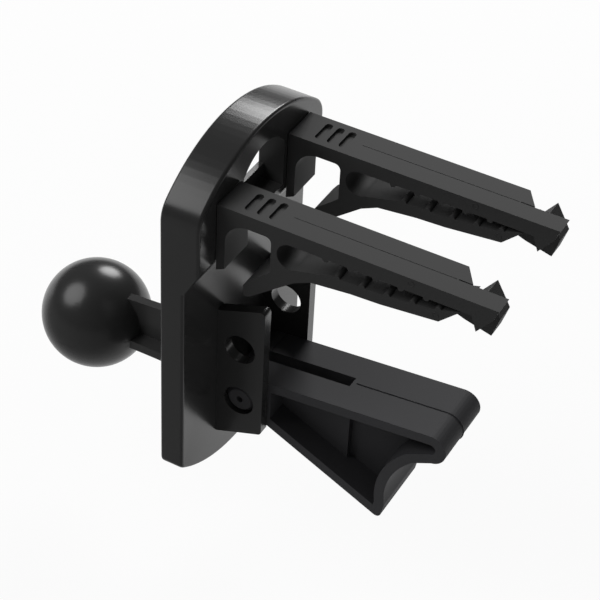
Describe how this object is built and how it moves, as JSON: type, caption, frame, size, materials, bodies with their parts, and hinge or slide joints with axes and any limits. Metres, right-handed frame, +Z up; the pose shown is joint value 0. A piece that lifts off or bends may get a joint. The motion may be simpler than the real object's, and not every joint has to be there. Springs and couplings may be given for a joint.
{
  "type": "air vent ball mount",
  "caption": "Car air vent mount: a ball on a plate, clip arms whose forked jaws grip a vent blade, and a swinging leg that braces against the vent.",
  "frame": {"origin": "the centre of the ball", "axes": "+Y from the ball through the plate and back along the clip arms towards the air vent, +Z up, +X to the side that the picture shows nearest"},
  "size_m": [0.034, 0.078, 0.0587],
  "materials": {
    "plate_black": "satin black moulded plastic",
    "arm_black": "fine satin black moulded plastic",
    "leg_black": "satin black moulded plastic"
  },
  "bodies": {
    "mount": {"ball_plate": "plate_black", "arm_right": "arm_black", "arm_left": "arm_black"},
    "leg": {"support_leg": "leg_black"}
  },
  "joints": [
    {"name": "leg_hinge", "type": "hinge", "parent": "mount", "child": "leg", "pos_m": [0, 0.0297, 0.002], "axis": [1, 0, 0], "range_deg": [-60, 75]}
  ]
}
